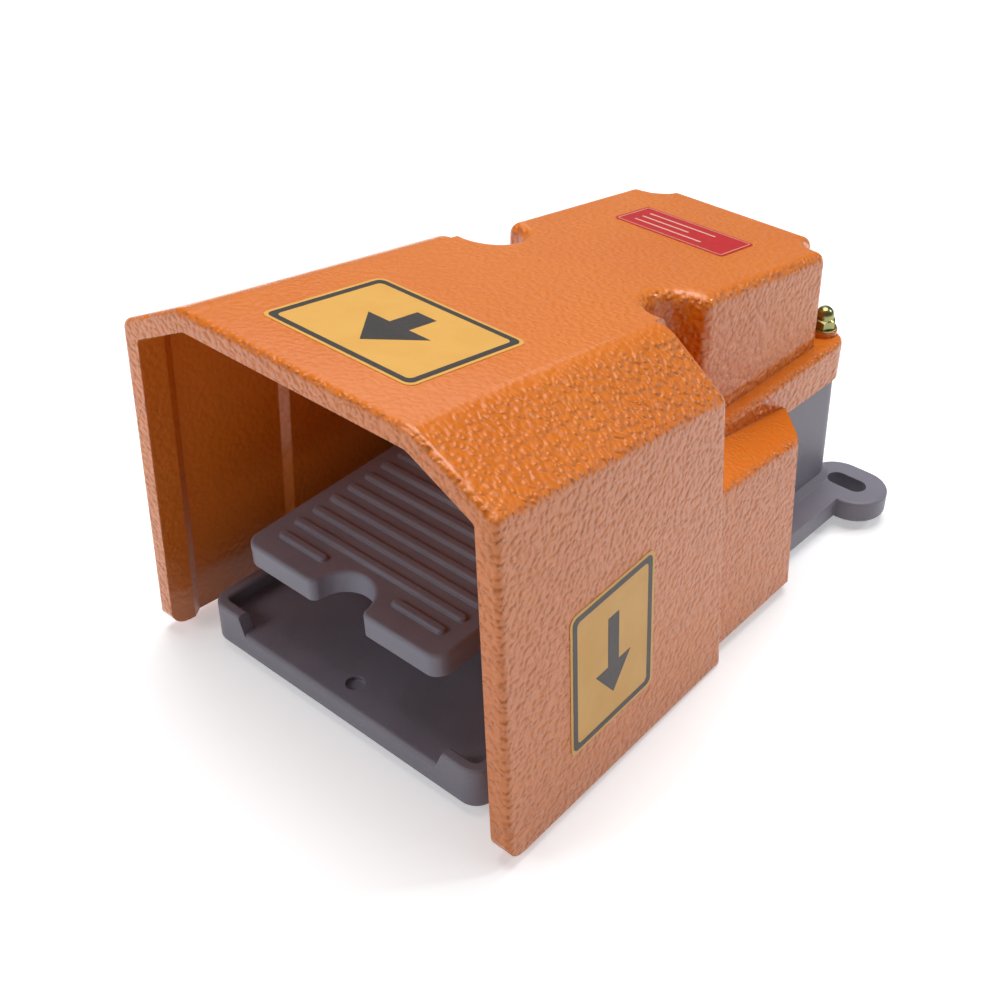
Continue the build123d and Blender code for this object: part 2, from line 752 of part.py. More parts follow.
def pedal_arm(side):
    """Arm that runs back beside the chamber to the pivot shaft."""
    start = pedal_flare_y + arm_inner + arm_width - pedal_half_width
    start_top = pedal_top + pedal_rise * (start - pedal_front) - pedal_edge
    points = [
        (start, start_top),
        (pedal_rear, start_top),
        (pivot_y, pivot_z + arm_boss_radius),
        (pivot_y, pivot_z - arm_boss_radius),
        (pedal_rear, start_top - pedal_thickness),
        (start, start_top - pedal_thickness + pedal_edge),
    ]
    blade = extrude(make_face(Plane.YZ * Polyline(*points, close=True)), amount=arm_width / 2, both=True)
    boss = Cylinder(arm_boss_radius, arm_width)
    return Pos(side * arm_middle) * blade + on_pivot(side * arm_middle) * boss


def pedal_casting():
    """Ribbed pedal plate, hollow underneath, with its two arms."""
    plate = extrude(pedal_outline(0) - finger_notch(0), amount=-pedal_thickness)
    upright = plate.edges().filter_by(Axis.Z)
    mouth = upright.filter_by(lambda e: abs(e.center().Y) < 0.01 and abs(e.center().X) < finger_radius + 1)
    plate = fillet(mouth, finger_corner)
    plate = fillet(plate.faces().sort_by(Axis.Z)[-1].edges(), pedal_edge)
    hollow = pedal_outline(pedal_skin) - finger_notch(pedal_skin)
    depth = pedal_thickness - pedal_skin + cut_margin
    pocket = Pos(0, 0, -pedal_thickness - cut_margin) * extrude(hollow, amount=depth)
    for x in (-pedal_half_width / 2, 0, pedal_half_width / 2):
        pocket -= Pos(x, 0, 0) * Box(pedal_skin / 2, 4 * pedal_rear, 8 * pedal_thickness)
    plate -= pocket
    for rib in pedal_ribs():
        plate += rib
    body = pedal_plane() * plate
    for side in (-1, 1):
        body += pedal_arm(side)
        body -= on_pivot(side * arm_middle) * Cylinder(shaft_radius, 2 * arm_width)
        body -= Pos(side * arm_middle, pivot_y, pivot_z) * Cylinder(pin_radius, 4 * arm_boss_radius)
    return body


def pivot_shaft():
    """Shaft through both arms, the chamber's bearings and the switch lever."""
    shaft = Rot(0, 90, 0) * Cylinder(shaft_radius, 2 * shaft_end)
    shaft = chamfer(shaft.edges().filter_by(GeomType.CIRCLE), fine_edge)
    groove = Cylinder(2 * shaft_radius, ring_thickness)
    groove -= Cylinder(shaft_radius - ring_groove_depth, 4 * ring_thickness)
    for side in (-1, 1):
        shaft -= Pos(side * ring_x, 0, 0) * Rot(0, 90, 0) * groove
    for x in (-arm_middle, 0, arm_middle):
        shaft -= Pos(x, 0, 0) * Cylinder(pin_radius, 4 * shaft_radius)
    return Pos(0, pivot_y, pivot_z) * shaft


def pedal_pins():
    """Pins that lock the pedal's arms to the shaft."""
    pin = Cylinder(pin_radius, 2 * (arm_boss_radius - fine_edge))
    return [Pos(side * arm_middle, pivot_y, pivot_z) * pin for side in (-1, 1)]


def lever_pin():
    """Pin that locks the switch lever to the shaft."""
    return Pos(0, pivot_y, pivot_z) * Cylinder(pin_radius, 2 * (lever_hub_radius - fine_edge))


def shaft_retaining_rings():
    """Open spring rings in the shaft's end grooves."""
    ring = Cylinder(ring_radius, ring_thickness)
    ring -= Cylinder(shaft_radius - ring_groove_depth, 4 * ring_thickness)
    ring -= Pos(0, ring_radius, 0) * Box(0.9 * shaft_radius, 2 * ring_radius, 4 * ring_thickness)
    return [on_pivot(side * ring_x) * ring for side in (-1, 1)]


def shaft_bushes():
    """Flanged bushes pressed into the chamber's walls from inside."""
    length = bearing_face - seal_width - bearing_inner
    bush = Cylinder(bush_radius, length, align=lower)
    bush += Pos(0, 0, -bush_flange) * Cylinder(bush_flange_radius, bush_flange, align=lower)
    bush -= Cylinder(shaft_radius + running, 4 * length)
    return [on_pivot(bearing_inner) * bush, on_pivot(-bearing_inner, 180) * bush]


def shaft_seals():
    """Rubber rings that keep dirt out of the bearings."""
    seal = Cylinder(seal_radius, seal_width) - Cylinder(shaft_radius + running, 4 * seal_width)
    return [on_pivot(side * (bearing_face - seal_width / 2)) * seal for side in (-1, 1)]


def switch_lever():
    """Lever on the shaft: its toe carries the adjusting screw, its crossbar presses the springs."""
    hub = Rot(0, 90, 0) * Cylinder(lever_hub_radius, 2 * lever_half_width)
    middle = lever_top - lever_thickness / 2
    toe_length = toe_reach + toe_end
    toe = Box(2 * toe_end, toe_length, lever_thickness, align=(Align.CENTER, Align.MIN, Align.CENTER))
    tip = toe.edges().filter_by(Axis.Z).sort_by(Axis.Y)[-2:]
    toe = fillet(tip, toe_end - fine_edge)
    web = Box(
        2 * lever_half_width, spring_reach, lever_thickness, align=(Align.CENTER, Align.MAX, Align.CENTER)
    )
    bar_length = 2 * (spring_x + crossbar_depth / 2)
    bar = Box(bar_length, crossbar_depth, lever_thickness)
    bar = fillet(bar.edges().filter_by(Axis.Z), crossbar_depth / 2 - fine_edge)
    body = hub + Pos(0, 0, middle) * (toe + web + Pos(0, -spring_reach, 0) * bar)
    peg = Cylinder(lever_peg_radius, lever_peg_height + 1, align=(Align.CENTER, Align.CENTER, Align.MAX))
    for side in (-1, 1):
        body += Pos(side * spring_x, -spring_reach, lever_top - lever_thickness + 1) * peg
    body -= Rot(0, 90, 0) * Cylinder(shaft_radius, 4 * lever_half_width)
    body -= Cylinder(pin_radius, 4 * lever_hub_radius)
    body -= Pos(0, toe_reach, 0) * Cylinder(stud_radius, 4 * lever_thickness)
    return Pos(0, pivot_y, pivot_z) * body


def adjusting_screw():
    """Domed screw in the lever's toe that presses the switch's plunger."""
    head_height = adjuster_top - pivot_z - lever_top
    head = extrude(RegularPolygon(cap_nut_flats / 2, 6, major_radius=False), amount=head_height)
    head = head & Pos(0, 0, head_height - adjuster_ball) * Sphere(adjuster_ball)
    shank = Pos(0, 0, 1) * Cylinder(
        stud_radius, adjuster_length + 1, align=(Align.CENTER, Align.CENTER, Align.MAX)
    )
    return Pos(0, plunger_y, pivot_z + lever_top) * (head + shank)


def adjusting_locknut():
    """Hexagon nut under the toe that locks the adjusting screw."""
    nut = extrude(RegularPolygon(cap_nut_flats / 2, 6, major_radius=False), amount=-cap_nut_hex)
    return Pos(0, plunger_y, spring_top) * (nut - Cylinder(stud_radius, 4 * cap_nut_hex))


def return_springs():
    """Pair of compression springs between the chamber's floor and the lever's crossbar."""
    height = spring_top - spring_base - 2 * spring_wire
    path = Helix(pitch=height / spring_turns, height=height, radius=spring_radius - spring_wire)
    section = Plane(origin=path @ 0, z_dir=path % 0) * RegularPolygon(spring_wire, 6)
    coil = sweep(section, path=path, is_frenet=True)
    return [Pos(side * spring_x, spring_y, spring_base + spring_wire) * coil for side in (-1, 1)]


def along_switch(y, z):
    """Place at a depth from the plunger and a height above the switch's foot, turned to lie along X."""
    return Pos(0, plunger_y + y, switch_bottom + z) * Rot(0, 90, 0)


def switch_body():
    """Moulded case of the snap switch with its plunger's bore, screw holes and terminal barriers."""
    case = Box(switch_width, switch_length, switch_height, align=lower)
    case = fillet(case.edges().filter_by(Axis.Z), switch_corner)
    collar = Cylinder(plunger_radius + plunger_collar, 2 * fine_edge, align=lower)
    case += Pos(0, 0, -2 * fine_edge) * collar
    barrier = Box(terminal_length, barrier_thickness, barrier_height, align=lower)
    for side in (-1, 1):
        case += Pos(0, side * terminal_pitch / 2, switch_height) * barrier
    body = Pos(0, plunger_y, switch_bottom) * case
    bore_top = plunger_bottom + plunger_length + toe_reach * sin(radians(pedal_travel)) + 2 * gap
    bore = Cylinder(plunger_radius + plunger_play, bore_top - plunger_bottom, align=lower)
    body -= Pos(0, plunger_y, plunger_bottom) * bore
    for side in (-1, 1):
        hole = Cylinder(m4_radius + bolt_clearance, 2 * switch_width)
        body -= along_switch(side * switch_screw_pitch / 2, switch_screw_rise) * hole
    for y in (-terminal_pitch, 0, terminal_pitch):
        hole = Cylinder(terminal_screw_radius, screw_bite)
        body -= Pos(0, plunger_y + y, switch_bottom + switch_height) * hole
    return body


def switch_plunger():
    """Round-nosed plunger that the adjusting screw lifts."""
    plunger = Cylinder(plunger_radius, plunger_length, align=lower)
    plunger = fillet(plunger.edges().sort_by(Axis.Z)[0], plunger_radius / 2)
    return Pos(0, plunger_y, plunger_bottom) * plunger


def switch_terminals():
    """Flat contact plates on the switch's top."""
    plate = Box(terminal_length, terminal_width, terminal_thickness, align=lower)
    plate -= Cylinder(terminal_screw_radius, 4 * terminal_thickness)
    top = switch_bottom + switch_height
    return [Pos(0, plunger_y + y, top) * plate for y in (-terminal_pitch, 0, terminal_pitch)]


def pan_screw(shank_radius, head_radius, head_height, length):
    """Slotted pan screw with its head above z = 0 and its shank below."""
    head = Cylinder(head_radius, head_height, align=lower)
    head = fillet(head.edges().sort_by(Axis.Z)[-1], head_height / 2)
    head -= Pos(0, 0, head_height) * Box(4 * head_radius, 2 * fine_edge, head_height)
    shank = Cylinder(shank_radius, length, align=(Align.CENTER, Align.CENTER, Align.MAX))
    return head + shank


def terminal_screws():
    """Pan screws of the three contact plates."""
    length = screw_bite / 2 + terminal_thickness
    screw = pan_screw(terminal_screw_radius, terminal_head_radius, terminal_head_height, length)
    top = switch_bottom + switch_height + terminal_thickness
    return [Pos(0, plunger_y + y, top) * screw for y in (-terminal_pitch, 0, terminal_pitch)]


def terminal_shield():
    """Insulating hood over the terminals, open at both ends for the wires."""
    length = switch_length - 2 * switch_corner
    hood = Box(switch_width, length, shield_height, align=lower)
    hood = fillet(hood.edges().filter_by(Axis.Y).sort_by(Axis.Z)[-2:], 2 * shield_sheet)
    hood -= Box(switch_width - 2 * shield_sheet, 2 * length, 2 * (shield_height - shield_sheet))
    return Pos(0, plunger_y, switch_bottom + switch_height) * hood


def switch_bracket():
    """Bent sheet bracket: a strap across the chamber with an upright tab beside the switch."""
    strap = Box(2 * bracket_half_span, bracket_depth, bracket_sheet, align=lower)
    strap = fillet(strap.edges().filter_by(Axis.Z), bracket_sheet)
    for side in (-1, 1):
        hole = Cylinder(m4_radius + bolt_clearance, 4 * bracket_sheet)
        strap -= Pos(side * bracket_screw_x, 0, 0) * hole
    tab = Box(bracket_sheet, bracket_tab_length, bracket_tab_height, align=lower)
    tab = fillet(tab.edges().filter_by(Axis.X), bracket_sheet)
    tab_end = bracket_y + bracket_depth / 2
    body = Pos(0, bracket_y, bracket_seat) * strap
    tab_x = (switch_width + bracket_sheet) / 2
    tab_rise = bracket_seat + bracket_sheet / 2
    body += Pos(tab_x, tab_end - bracket_tab_length / 2, tab_rise) * tab
    for side in (-1, 1):
        hole = Pos(0, 0, switch_width) * Cylinder(m4_radius + bolt_clearance, 2 * switch_width)
        body -= along_switch(side * switch_screw_pitch / 2, switch_screw_rise) * hole
    return body


def bracket_screws():
    """Pan screws that hold the bracket on its pillars."""
    screw = pan_screw(m4_radius, m4_head_radius, m4_head_height, screw_bite - 1)
    top = bracket_seat + bracket_sheet
    return [Pos(side * bracket_screw_x, bracket_y, top) * screw for side in (-1, 1)]


def switch_screws():
    """Screws through the switch and its bracket's tab."""
    length = switch_width + bracket_sheet + m4_nut_height + fine_edge
    screw = pan_screw(m4_radius, m4_head_radius, m4_head_height, length)
    seated = Pos(-switch_width / 2, 0, 0) * Rot(0, -90, 0) * screw
    height = switch_bottom + switch_screw_rise
    return [Pos(0, plunger_y + side * switch_screw_pitch / 2, height) * seated for side in (-1, 1)]


def switch_nuts():
    """Nuts on the switch's screws, against the bracket's tab."""
    nut = extrude(RegularPolygon(m4_nut_flats / 2, 6, major_radius=False), amount=m4_nut_height)
    nut -= Cylinder(m4_radius, 4 * m4_nut_height)
    seat = Pos(0, 0, switch_width / 2 + bracket_sheet)
    return [along_switch(side * switch_screw_pitch / 2, switch_screw_rise) * seat * nut for side in (-1, 1)]


def on_entry(y):
    """Place on the cable entry's axis at a depth, with the piece's own axis pointing to the rear."""
    return Pos(0, y, entry_z) * Rot(-90, 0, 0)


def gland_body():
    """Cable gland's body: thread through the wall, hexagon collar and sleeve round the seal."""
    collar = extrude(RegularPolygon(gland_flats / 2, 6, major_radius=False), amount=gland_collar)
    thread = Cylinder(entry_radius, gland_inner_reach, align=(Align.CENTER, Align.CENTER, Align.MAX))
    sleeve = Cylinder(entry_radius, gland_collar + gland_neck, align=lower)
    body = collar + thread + sleeve - Cylinder(gland_bore, 9 * gland_collar)
    seat = Pos(0, 0, gland_collar) * Cylinder(entry_radius - gland_wall, 2 * gland_neck, align=lower)
    return on_entry(entry_face) * (body - seat)


def gland_cap():
    """Cap nut that squeezes the seal round the cable, with flats on its outside."""
    cap = Cylinder(gland_cap_radius, gland_cap_length, align=lower)
    cap = fillet(cap.edges().sort_by(Axis.Z)[-1], gland_cap_end / 2)
    flats = RegularPolygon(gland_flats / 2, 6, major_radius=False)
    cap = cap & extrude(flats, amount=gland_cap_length)
    cap -= Cylinder(entry_radius, 2 * (gland_cap_length - gland_cap_end))
    cap -= Cylinder(seal_nose_radius + gap, 4 * gland_cap_length)
    return on_entry(entry_face + gland_collar + gap) * cap


def gland_seal():
    """Rubber sleeve round the cable, with a nose that shows in the cap nut."""
    start = entry_face + gland_collar
    wide = Cylinder(entry_radius - gland_wall, gland_cap_length - gland_cap_end + gap, align=lower)
    sleeve = wide + Cylinder(seal_nose_radius, gland_mouth - start, align=lower)
    return on_entry(start) * (sleeve - Cylinder(cable_radius, 4 * gland_cap_length))


def gland_locknut():
    """Hexagon nut that holds the gland from inside the chamber."""
    nut = extrude(RegularPolygon(gland_nut_flats / 2, 6, major_radius=False), amount=-gland_nut_height)
    return on_entry(entry_face - entry_boss_length) * (nut - Cylinder(entry_radius, 4 * gland_nut_height))


def earth_screw():
    """Pan screw of the earth terminal."""
    screw = pan_screw(m4_radius, m4_head_radius, m4_head_height, screw_bite)
    return Pos(earth_x, earth_y, earth_seat + earth_washer_thickness) * screw


def earth_washer():
    """Washer under the earth screw's head."""
    washer = Cylinder(earth_washer_radius, earth_washer_thickness, align=lower)
    washer -= Cylinder(m4_radius + bolt_clearance, 4 * earth_washer_thickness)
    return Pos(earth_x, earth_y, earth_seat) * washer


nodes = {
    "base_casting": base_casting,
    "guard_casting": guard_casting,
    "rim_gasket": rim_gasket,
    "cover_studs": cover_studs,
    "cover_washers": cover_washers,
    "cover_cap_nuts": cover_cap_nuts,
    "rubber_feet": rubber_feet,
    "foot_screws": foot_screws,
    "pedal_casting": pedal_casting,
    "pivot_shaft": pivot_shaft,
    "pedal_pins": pedal_pins,
    "shaft_retaining_rings": shaft_retaining_rings,
    "shaft_bushes": shaft_bushes,
    "shaft_seals": shaft_seals,
    "switch_lever": switch_lever,
    "lever_pin": lever_pin,
    "adjusting_screw": adjusting_screw,
    "adjusting_locknut": adjusting_locknut,
    "return_springs": return_springs,
    "switch_body": switch_body,
    "switch_plunger": switch_plunger,
    "switch_terminals": switch_terminals,
    "terminal_screws": terminal_screws,
    "terminal_shield": terminal_shield,
    "switch_bracket": switch_bracket,
    "bracket_screws": bracket_screws,
    "switch_screws": switch_screws,
    "switch_nuts": switch_nuts,
    "gland_body": gland_body,
    "gland_cap": gland_cap,
    "gland_seal": gland_seal,
    "gland_locknut": gland_locknut,
    "earth_screw": earth_screw,
    "earth_washer": earth_washer,
}

if __name__ == "__main__":
    os.makedirs("parts", exist_ok=True)
    centred = Pos(0, -gland_mouth / 2, 0)
    for name, build in nodes.items():
        shape = build()
        if isinstance(shape, list):
            shape = Compound(children=shape)
        shape = centred * shape
        shape.label = name
        export_step(shape, f"parts/{name}.step")
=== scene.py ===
"""Looks of the industrial foot switch: finishes, printed films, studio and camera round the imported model."""

import logging
import math
from dataclasses import dataclass, field
from enum import Enum
from typing import Any, Optional, Sequence

import bmesh
import bpy
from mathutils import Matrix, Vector
from mathutils.bvhtree import BVHTree


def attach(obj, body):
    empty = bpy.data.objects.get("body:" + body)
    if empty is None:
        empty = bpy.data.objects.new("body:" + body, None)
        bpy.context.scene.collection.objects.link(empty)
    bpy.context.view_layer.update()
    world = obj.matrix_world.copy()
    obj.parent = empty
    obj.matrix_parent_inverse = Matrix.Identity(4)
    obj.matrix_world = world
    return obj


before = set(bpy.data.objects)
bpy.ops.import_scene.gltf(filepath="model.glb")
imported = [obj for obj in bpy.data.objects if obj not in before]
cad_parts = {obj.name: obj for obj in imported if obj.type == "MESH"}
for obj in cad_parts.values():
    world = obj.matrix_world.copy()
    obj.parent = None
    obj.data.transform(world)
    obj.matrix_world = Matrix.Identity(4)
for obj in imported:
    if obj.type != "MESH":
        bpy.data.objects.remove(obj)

logging.basicConfig(level=logging.INFO, format="%(levelname)s %(message)s")
log = logging.getLogger("foot_switch")

MM = 0.001
GUARD_BODY = "base"

Colour = tuple[float, float, float, float]
Point2 = tuple[float, float]
Point3 = tuple[float, float, float]


class Motif(Enum):
    """Plain drawing in the middle of a printed film."""

    ARROW = "arrow"
    RULES = "rules"


def linear(code: str) -> Colour:
    """Turns an sRGB hex colour into linear light.

    Args:
        code: Six hex digits with a leading hash.

    Returns:
        Red, green, blue and alpha in linear light.
    """
    channels = [int(code[i : i + 2], 16) / 255 for i in (1, 3, 5)]
    lit = [c / 12.92 if c <= 0.04045 else ((c + 0.055) / 1.055) ** 2.4 for c in channels]
    return (lit[0], lit[1], lit[2], 1.0)


def per_metre(size_mm: float) -> float:
    """Texture scale that makes one cell of a pattern about this many millimetres across.

    Args:
        size_mm: Real size of a cell.

    Returns:
        Cells per metre.
    """
    return 1.0 / (size_mm * MM)


def add_node(
    tree: bpy.types.NodeTree, kind: str, inputs: Optional[dict[Any, Any]] = None, **settings: Any
) -> bpy.types.Node:
    """Adds a shader node and fills its inputs.

    Args:
        tree: Node tree that gets the node.
        kind: Node type.
        inputs: Value or output socket for each input, by name or number.
        settings: Properties of the node.

    Returns:
        The new node.
    """
    node = tree.nodes.new(kind)
    for key, value in settings.items():
        setattr(node, key, value)
    for key, value in (inputs or {}).items():
        if isinstance(value, bpy.types.NodeSocket):
            tree.links.new(value, node.inputs[key])
        else:
            node.inputs[key].default_value = value
    return node


@dataclass(frozen=True)
class Finish:
    """Procedural surface finish.

    Attributes:
        name: Name of the material.
        colour: Main colour.
        tint: Second colour that drifts through the first.
        drift_mm: Size of the drifting patches.
        roughness: Mean roughness.
        spread: How far the roughness varies either way.
        grain_mm: Size of the fine grain.
        grain_height_mm: Height of the fine grain.
        cell_mm: Size of the hammered cells, or 0 for none.
        cell_height_mm: Height of the hammered cells.
        core_height_mm: Height of the hollow's middle line above the floor.
        metallic: Metal share.
        coat: Weight of the clear top layer.
        coat_roughness: Roughness of the clear top layer.
        edge: Colour of the pale edges, partly wear and partly painted highlight, or empty for none.
        edge_mm: Width of the pale edges and of the softened corners.
        speckle: Colour of fine specks, or empty for none.
        speckle_mm: Size of the specks.
    """

    name: str
    colour: str
    tint: str
    drift_mm: float = 30.0
    roughness: float = 0.5
    spread: float = 0.06
    grain_mm: float = 0.5
    grain_height_mm: float = 0.02
    cell_mm: float = 0.0
    cell_height_mm: float = 0.0
    core_height_mm: float = 60.0
    metallic: float = 0.0
    coat: float = 0.0
    coat_roughness: float = 0.1
    edge: str = ""
    edge_mm: float = 0.6
    speckle: str = ""
    speckle_mm: float = 0.5

    def build(self) -> bpy.types.Material:
        """Makes the material.

        Returns:
            The finished material.
        """
        material = bpy.data.materials.new(self.name)
        material.use_nodes = True
        tree = material.node_tree
        tree.nodes.clear()
        place = add_node(tree, "ShaderNodeTexCoord").outputs["Object"]
        soft = add_node(tree, "ShaderNodeBevel", {"Radius": self.edge_mm * MM}, samples=4).outputs["Normal"]
        grain = self._noise(tree, place, self.grain_mm, 3.0)
        drift = self._noise(tree, place, self.drift_mm, 2.0)
        surface = add_node(
            tree,
            "ShaderNodeBsdfPrincipled",
            {
                "Base Color": self._colour(tree, place, drift, soft),
                "Roughness": self._roughness(tree, drift, grain),
                "Metallic": self.metallic,
                "Coat Weight": self.coat,
                "Coat Roughness": self.coat_roughness,
                "Normal": self._normal(tree, place, grain, soft),
            },
        )
        add_node(tree, "ShaderNodeOutputMaterial", {"Surface": surface.outputs["BSDF"]})
        material.diffuse_color = linear(self.colour)
        return material

    def _noise(
        self, tree: bpy.types.NodeTree, place: bpy.types.NodeSocket, size_mm: float, detail: float
    ) -> bpy.types.NodeSocket:
        """Fractal noise with features of a real size, from 0 to 1.

        Args:
            tree: Material's node tree.
            place: Object coordinates.
            size_mm: Size of a feature.
            detail: Octaves of noise.

        Returns:
            Strength of the noise.
        """
        inputs = {"Vector": place, "Scale": per_metre(size_mm), "Detail": detail, "Roughness": 0.55}
        return add_node(tree, "ShaderNodeTexNoise", inputs).outputs["Fac"]

    def _colour(
        self,
        tree: bpy.types.NodeTree,
        place: bpy.types.NodeSocket,
        drift: bpy.types.NodeSocket,
        soft: bpy.types.NodeSocket,
    ) -> bpy.types.NodeSocket:
        """Main colour with drifting patches, specks and pale edges, partly wear and partly painted highlight.

        Args:
            tree: Material's node tree.
            place: Object coordinates.
            drift: Noise of the drifting patches.
            soft: Normal with softened corners.

        Returns:
            The colour.
        """
        share = add_node(
            tree, "ShaderNodeMapRange", {"Value": drift, "From Min": 0.35, "From Max": 0.65}
        ).outputs["Result"]
        mixed = add_node(
            tree, "ShaderNodeMix", {0: share, 6: linear(self.colour), 7: linear(self.tint)}, data_type="RGBA"
        ).outputs[2]
        if self.speckle:
            specks = self._noise(tree, place, self.speckle_mm, 1.0)
            share = add_node(
                tree,
                "ShaderNodeMapRange",
                {"Value": specks, "From Min": 0.58, "From Max": 0.72, "To Max": 0.5},
            ).outputs["Result"]
            mixed = add_node(
                tree, "ShaderNodeMix", {0: share, 6: mixed, 7: linear(self.speckle)}, data_type="RGBA"
            ).outputs[2]
        # Pale colour where the softened normal bends away, on convex and concave edges alike: partly wear,
        # partly painted highlight.
        if self.edge:
            normal = add_node(tree, "ShaderNodeNewGeometry").outputs["Normal"]
            edge_wear_and_highlight = add_node(tree, "ShaderNodeVectorMath", {0: soft, 1: normal}, operation="DOT_PRODUCT")
            share = add_node(
                tree,
                "ShaderNodeMapRange",
                {"Value": edge_wear_and_highlight.outputs["Value"], "From Min": 0.995, "From Max": 0.9, "To Max": 0.7},
            ).outputs["Result"]
            mixed = add_node(
                tree, "ShaderNodeMix", {0: share, 6: mixed, 7: linear(self.edge)}, data_type="RGBA"
            ).outputs[2]
        return mixed

    def _roughness(
        self, tree: bpy.types.NodeTree, drift: bpy.types.NodeSocket, grain: bpy.types.NodeSocket
    ) -> bpy.types.NodeSocket:
        """Roughness that varies with the patches and the grain.

        Args:
            tree: Material's node tree.
            drift: Noise of the drifting patches.
            grain: Noise of the fine grain.

        Returns:
            The roughness.
        """
        both = add_node(tree, "ShaderNodeMath", {0: drift, 1: grain}, operation="MULTIPLY").outputs["Value"]
        return add_node(
            tree,
            "ShaderNodeMapRange",
            {
                "Value": both,
                "From Min": 0.1,
                "From Max": 0.45,
                "To Min": self.roughness - self.spread,
                "To Max": self.roughness + self.spread,
            },
        ).outputs["Result"]

    def _normal(
        self,
        tree: bpy.types.NodeTree,
        place: bpy.types.NodeSocket,
        grain: bpy.types.NodeSocket,
        soft: bpy.types.NodeSocket,
    ) -> bpy.types.NodeSocket:
        """Softened corners with fine grain and, where asked for, hammered cells.

        Args:
            tree: Material's node tree.
            place: Object coordinates.
            grain: Noise of the fine grain.
            soft: Normal with softened corners.

        Returns:
            The bumped normal.
        """
        normal = add_node(
            tree,
            "ShaderNodeBump",
            {"Height": grain, "Strength": 1.0, "Distance": self.grain_height_mm * MM, "Normal": soft},
        ).outputs["Normal"]
        if not self.cell_mm:
            return normal
        return add_node(
            tree,
            "ShaderNodeBump",
            {
                "Height": self._cells(tree, place),
                "Strength": self._cell_depth(tree, place),
                "Distance": self.cell_height_mm * MM,
                "Normal": normal,
            },
            invert=True,
        ).outputs["Normal"]

    def _cells(self, tree: bpy.types.NodeTree, place: bpy.types.NodeSocket) -> bpy.types.NodeSocket:
        """Round cells of the hammered paint, pushed out of line by a coarse noise.

        Args:
            tree: Material's node tree.
            place: Object coordinates.

        Returns:
            Distance from the middle of the nearest cell.
        """
        warp = add_node(
            tree, "ShaderNodeTexNoise", {"Vector": place, "Scale": per_metre(2 * self.cell_mm), "Detail": 1.0}
        ).outputs["Color"]
        shift = add_node(
            tree, "ShaderNodeVectorMath", {0: warp, "Scale": self.cell_mm * MM}, operation="SCALE"
        ).outputs["Vector"]
        moved = add_node(tree, "ShaderNodeVectorMath", {0: place, 1: shift}, operation="ADD").outputs["Vector"]
        return add_node(
            tree,
            "ShaderNodeTexVoronoi",
            {"Vector": moved, "Scale": per_metre(self.cell_mm), "Smoothness": 0.8},
            feature="SMOOTH_F1",
        ).outputs["Distance"]

    def _cell_depth(self, tree: bpy.types.NodeTree, place: bpy.types.NodeSocket) -> bpy.types.NodeSocket:
        """Depth of the hammered cells, as a share of their full height.

        Args:
            tree: Material's node tree.
            place: Object coordinates.

        Returns:
            The share.
        """
        facing = add_node(tree, "ShaderNodeNewGeometry").outputs["Normal"]
        upward = add_node(tree, "ShaderNodeSeparateXYZ", {"Vector": facing}).outputs["Z"]
        # Wet paint levels out where a face lies flat, so the cells are shallower there.
        level = add_node(
            tree,
            "ShaderNodeMapRange",
            {"Value": upward, "From Min": 0.8, "From Max": 0.97, "To Min": 1.0, "To Max": 0.3},
        ).outputs["Result"]
        # Faces inside the hollow look at its middle line, and the coat is thin and smooth there.
        core = (0.0, 0.0, self.core_height_mm * MM)
        spoke = add_node(
            tree, "ShaderNodeVectorMath", {0: place, 1: core}, operation="SUBTRACT"
        ).outputs["Vector"]
        spoke = add_node(
            tree, "ShaderNodeVectorMath", {0: spoke, 1: (1.0, 0.0, 1.0)}, operation="MULTIPLY"
        ).outputs["Vector"]
        outward = add_node(
            tree, "ShaderNodeVectorMath", {0: spoke, 1: facing}, operation="DOT_PRODUCT"
        ).outputs["Value"]
        outer = add_node(
            tree,
            "ShaderNodeMapRange",
            {"Value": outward, "From Min": -0.02, "From Max": -0.005, "To Min": 0.2, "To Max": 1.0},
        ).outputs["Result"]
        depth = add_node(tree, "ShaderNodeMath", {0: level, 1: outer}, operation="MULTIPLY")
        return depth.outputs["Value"]


# Hammered powder coat on a casting: glossy, with soft round dimples that break up the light.
GUARD_PAINT = Finish(
    "guard_paint", "#DE730C", "#E27912", drift_mm=60, roughness=0.36, grain_mm=0.7, grain_height_mm=0.05,
    cell_mm=2.0, cell_height_mm=1.6, coat=0.5, coat_roughness=0.12, edge_mm=0.8,
)
# Fine-grained spray paint on a casting: dull grey with pale edges, partly rubbed and partly painted highlight.
CASTING_PAINT = Finish(
    "casting_paint", "#7C7884", "#84808C", roughness=0.46, grain_mm=0.6, grain_height_mm=0.09,
    edge="#A19EA9", edge_mm=0.6, speckle="#95929D",
)
# The same kind of paint where a shoe rubs it: a little smoother, with paler edges, partly rubbed and partly
# painted highlight.
PEDAL_PAINT = Finish(
    "pedal_paint", "#7C7986", "#84818E", roughness=0.44, grain_mm=0.55, grain_height_mm=0.08,
    edge="#A5A0A9", edge_mm=0.8, speckle="#8D878E",
)
# Yellow-passivated zinc plate: metallic, drifting between straw and olive.
PASSIVATED_ZINC = Finish(
    "passivated_zinc", "#A59C62", "#8E946C", drift_mm=3, roughness=0.28, grain_mm=0.4, grain_height_mm=0.006,
    metallic=1.0, edge_mm=0.2,
)
# Ground steel: clean neutral metal with a soft sheen.
BRIGHT_STEEL = Finish(
    "bright_steel", "#B9BABC", "#A7A9AC", drift_mm=6, roughness=0.3, grain_mm=0.3, grain_height_mm=0.004,
    metallic=1.0, edge_mm=0.2,
)
# Oiled spring wire: dark metal.
SPRING_STEEL = Finish(
    "spring_steel", "#6E6E72", "#5A5A5F", drift_mm=4, roughness=0.36, grain_mm=0.3, grain_height_mm=0.004,
    metallic=1.0, edge_mm=0.15,
)
# Sintered bronze: dull brown metal with fine pores.
BRONZE = Finish(
    "bronze", "#B08A4E", "#9C7740", drift_mm=3, roughness=0.42, grain_mm=0.25, grain_height_mm=0.01,
    metallic=1.0, edge_mm=0.2,
)
